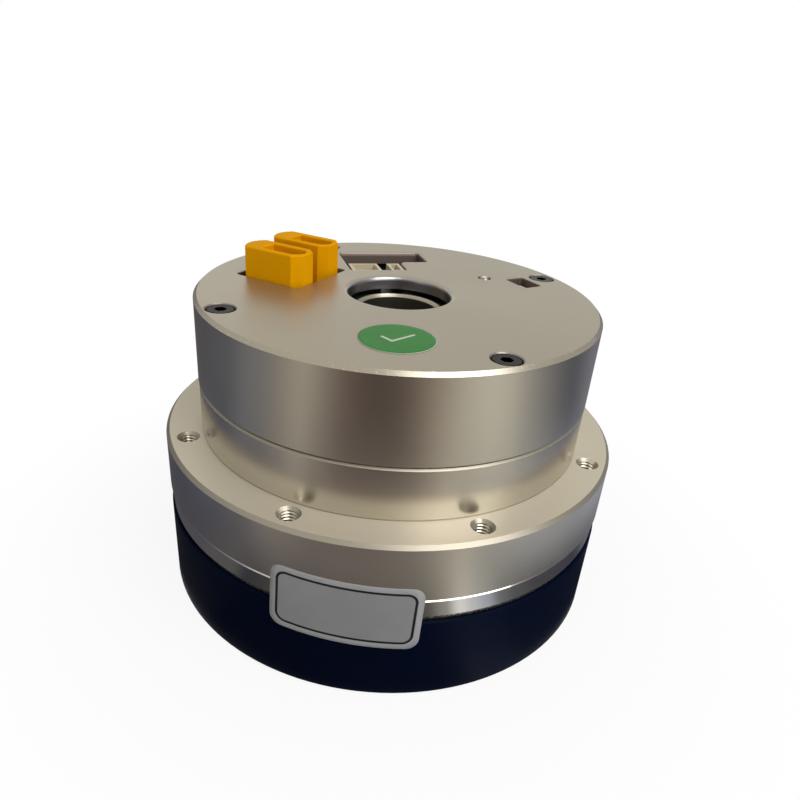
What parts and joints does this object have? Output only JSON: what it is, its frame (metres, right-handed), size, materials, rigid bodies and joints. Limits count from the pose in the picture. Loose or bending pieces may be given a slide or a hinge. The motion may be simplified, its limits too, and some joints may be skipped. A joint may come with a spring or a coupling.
{
  "type": "robot joint actuator",
  "caption": "Hollow-shaft robot joint: strain wave gear with a turning output flange, frameless motor, encoders and drive board in one round housing with a bolting flange.",
  "frame": {"origin": "on the joint's axis, at the underside of the black gear housing", "axes": "+Z along the joint's axis from the output side to the wiring cover; the picture looks from the -Y side, with +X to its right"},
  "size_m": [0.07, 0.07, 0.0503],
  "materials": {
    "machined_aluminium": "fine turned, clear anodised, satin",
    "blasted_aluminium": "finely bead blasted, clear anodised, satin",
    "black_anodised": "black anodised, semi matt",
    "polished_steel": "ground and polished, mirror-like band",
    "output_steel": "ground steel, satin",
    "gear_steel": "machined alloy steel",
    "bearing_steel": "ground and honed",
    "bright_steel": "turned, zinc plated",
    "black_steel": "black oxide",
    "lamination_steel": "varnished lamination stack",
    "copper_winding": "enamelled copper wire",
    "magnet_plating": "nickel plated magnets",
    "ring_magnet": "plastic-bonded magnet",
    "tube_aluminium": "turned, clear anodised",
    "seal_rubber": "nitrile rubber",
    "board_laminate": "glass-fibre laminate with solder mask",
    "plated_brass": "nickel plated",
    "plated_contact": "gold plated",
    "black_resin": "moulded resin",
    "lead_insulation": "silicone insulation",
    "yellow_plastic": "moulded nylon, slightly glossy",
    "cream_nylon": "moulded nylon",
    "clear_resin": "clear moulded lens"
  },
  "bodies": {
    "housing": {"gear_housing": "black_anodised", "gear_screws": "black_steel", "bearing_outer_ring": "bearing_steel", "bearing_retainer": "bright_steel", "output_seal": "seal_rubber", "flexspline": "polished_steel", "main_housing": "machined_aluminium", "stator_core": "lamination_steel", "stator_coils": "copper_winding", "front_bearing_outer_ring": "bearing_steel", "rear_bearing_outer_ring": "bearing_steel", "bearing_bracket": "machined_aluminium", "bracket_screws": "black_steel", "rear_cover": "blasted_aluminium", "cover_gasket": "seal_rubber", "cover_screws": "black_steel", "encoder_board": "board_laminate", "driver_board": "board_laminate", "board_pillars": "plated_brass", "board_spacers": "plated_brass", "board_screws": "bright_steel", "position_sensors": "black_resin", "driver_chips": "black_resin", "board_header": "black_resin", "motor_leads": "lead_insulation", "power_connector_front": "yellow_plastic", "power_connector_back": "yellow_plastic", "power_contacts": "plated_contact", "signal_connector_wide": "cream_nylon", "signal_connector_narrow": "cream_nylon", "service_header": "black_resin", "status_light": "clear_resin"},
    "output": {"output_flange": "output_steel", "cross_rollers": "bearing_steel", "circular_spline": "gear_steel", "spline_screws": "black_steel", "centre_tube": "tube_aluminium", "output_encoder_ring": "ring_magnet"},
    "rotor": {"motor_shaft": "gear_steel", "wave_generator_plug": "gear_steel", "wave_bearing_inner_ring": "bearing_steel", "wave_bearing_balls": "bearing_steel", "wave_bearing_outer_ring": "bearing_steel", "rotor_back_iron": "gear_steel", "rotor_magnets": "magnet_plating", "front_bearing_inner_ring": "bearing_steel", "front_bearing_balls": "bearing_steel", "rear_bearing_inner_ring": "bearing_steel", "rear_bearing_balls": "bearing_steel", "motor_encoder_ring": "ring_magnet"}
  },
  "joints": [
    {"name": "rotor_spin", "type": "hinge", "parent": "housing", "child": "rotor", "pos_m": [0, 0, 0], "axis": [0, 0, 1], "continuous": true, "deforming": ["flexspline"]},
    {"name": "output_turn", "type": "hinge", "parent": "housing", "child": "output", "pos_m": [0, 0, 0], "axis": [0, 0, 1], "continuous": true}
  ],
  "couplings": [
    {"joint": "output_turn", "follows": "rotor_spin", "ratio": 0.009901}
  ]
}
